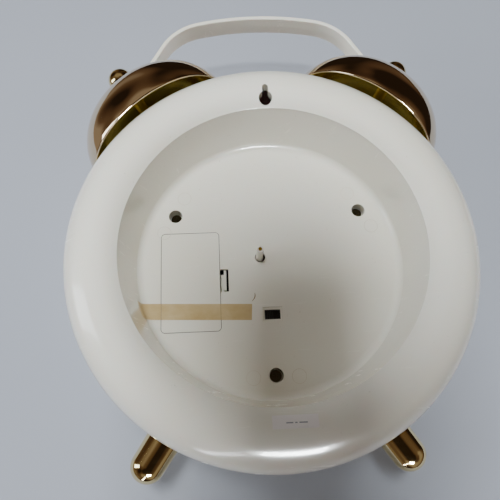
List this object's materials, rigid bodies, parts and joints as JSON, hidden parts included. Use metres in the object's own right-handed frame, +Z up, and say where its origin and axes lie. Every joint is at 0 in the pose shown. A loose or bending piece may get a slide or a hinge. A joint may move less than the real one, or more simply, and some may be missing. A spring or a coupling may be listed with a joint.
{
  "type": "twin-bell clock",
  "caption": "Large round twin-bell clock in ivory plastic with gold bells and legs, a carrying handle, and a recessed back with battery door, switch, time knob and keyhole.",
  "frame": {"origin": "on the table under the middle of the case, level with the lowest point of the two legs", "axes": "+Z up, the dial faces -Y and the recessed back faces +Y, +X is to the right of someone who reads the dial"},
  "size_m": [0.24, 0.112, 0.3176],
  "materials": {
    "ivory_plastic": "glossy injection-moulded plastic, slightly yellowed",
    "gold_plating": "mirror-polished pale gold plating",
    "clear_lens": "clear and polished",
    "dial_card": "printed card, satin",
    "black_print": "black paint, satin",
    "red_paint": "red paint, satin",
    "grey_plastic": "moulded, fine texture",
    "black_plastic": "moulded, satin",
    "white_gear_plastic": "moulded, smooth",
    "brass_part": "turned brass, slightly tarnished",
    "zinc_steel": "zinc-plated",
    "yellow_zinc_screw": "yellow zinc plating",
    "rubber_washer": "matt",
    "copper_winding": "enamelled wire",
    "green_board": "solder mask",
    "cell_jacket": "printed jacket, plain"
  },
  "bodies": {
    "case": {"rear_case": "ivory_plastic", "front_case": "ivory_plastic", "lens_ring": "gold_plating", "lens": "clear_lens", "dial_plate": "dial_card", "hour_markers": "black_print", "dial_carrier": "grey_plastic", "case_screws": "yellow_zinc_screw", "bell_left": "gold_plating", "bell_right": "gold_plating", "bell_post_left": "gold_plating", "bell_post_right": "gold_plating", "post_nuts": "zinc_steel", "bell_washers": "rubber_washer", "ball_nut_left": "gold_plating", "ball_nut_right": "gold_plating", "handle": "ivory_plastic", "leg_left": "gold_plating", "leg_right": "gold_plating", "leg_screws": "zinc_steel", "battery_tray": "ivory_plastic", "battery_cells": "cell_jacket", "contact_springs": "zinc_steel", "contact_plates": "zinc_steel", "switch_body": "black_plastic", "movement_base": "black_plastic", "movement_cover": "black_plastic", "movement_nut": "brass_part", "movement_washer": "rubber_washer", "circuit_board": "green_board", "coil": "copper_winding", "stator": "zinc_steel"},
    "minute": {"minute_cannon": "brass_part", "minute_hand": "black_print"},
    "hour": {"hour_wheel": "white_gear_plastic", "hour_hand": "black_print"},
    "setting": {"setting_arbor": "brass_part", "time_knob": "ivory_plastic", "motion_wheel": "white_gear_plastic"},
    "second": {"second_wheel": "brass_part", "second_hand": "red_paint"},
    "centre": {"centre_wheel": "brass_part"},
    "third": {"third_wheel": "brass_part"},
    "intermediate": {"intermediate_wheel": "white_gear_plastic"},
    "rotor": {"rotor": "grey_plastic"},
    "switch": {"switch_lever": "black_plastic"},
    "door": {"battery_door": "ivory_plastic"}
  },
  "joints": [
    {"name": "minute_spin", "type": "hinge", "parent": "case", "child": "minute", "pos_m": [0, 0, 0.126], "axis": [0, 1, 0], "continuous": true},
    {"name": "hour_spin", "type": "hinge", "parent": "case", "child": "hour", "pos_m": [0, 0, 0.126], "axis": [0, 1, 0], "continuous": true},
    {"name": "time_set_spin", "type": "hinge", "parent": "case", "child": "setting", "pos_m": [0.0065, 0, 0.131], "axis": [0, 1, 0], "continuous": true},
    {"name": "second_spin", "type": "hinge", "parent": "case", "child": "second", "pos_m": [0, 0, 0.126], "axis": [0, 1, 0], "continuous": true},
    {"name": "centre_spin", "type": "hinge", "parent": "case", "child": "centre", "pos_m": [0, 0, 0.126], "axis": [0, 1, 0], "continuous": true},
    {"name": "third_spin", "type": "hinge", "parent": "case", "child": "third", "pos_m": [-0.00733, 0, 0.12333], "axis": [0, 1, 0], "continuous": true},
    {"name": "intermediate_spin", "type": "hinge", "parent": "case", "child": "intermediate", "pos_m": [-0.00267, 0, 0.13333], "axis": [0, 1, 0], "continuous": true},
    {"name": "rotor_spin", "type": "hinge", "parent": "case", "child": "rotor", "pos_m": [-0.00841, 0, 0.13815], "axis": [0, 1, 0], "continuous": true},
    {"name": "switch_slide", "type": "slide", "parent": "case", "child": "switch", "axis": [-1, 0, 0], "range_m": [0, 0.0036]},
    {"name": "door_hinge", "type": "hinge", "parent": "case", "child": "door", "pos_m": [0.068, 0.012, 0.1168], "axis": [0, 0, -1], "range_deg": [0, 95]}
  ],
  "couplings": [
    {"joint": "hour_spin", "follows": "minute_spin", "ratio": 0.083333},
    {"joint": "time_set_spin", "follows": "minute_spin", "ratio": -0.33333},
    {"joint": "third_spin", "follows": "second_spin", "ratio": -0.13333},
    {"joint": "centre_spin", "follows": "second_spin", "ratio": 0.016667},
    {"joint": "intermediate_spin", "follows": "second_spin", "ratio": -6},
    {"joint": "rotor_spin", "follows": "second_spin", "ratio": 30}
  ]
}
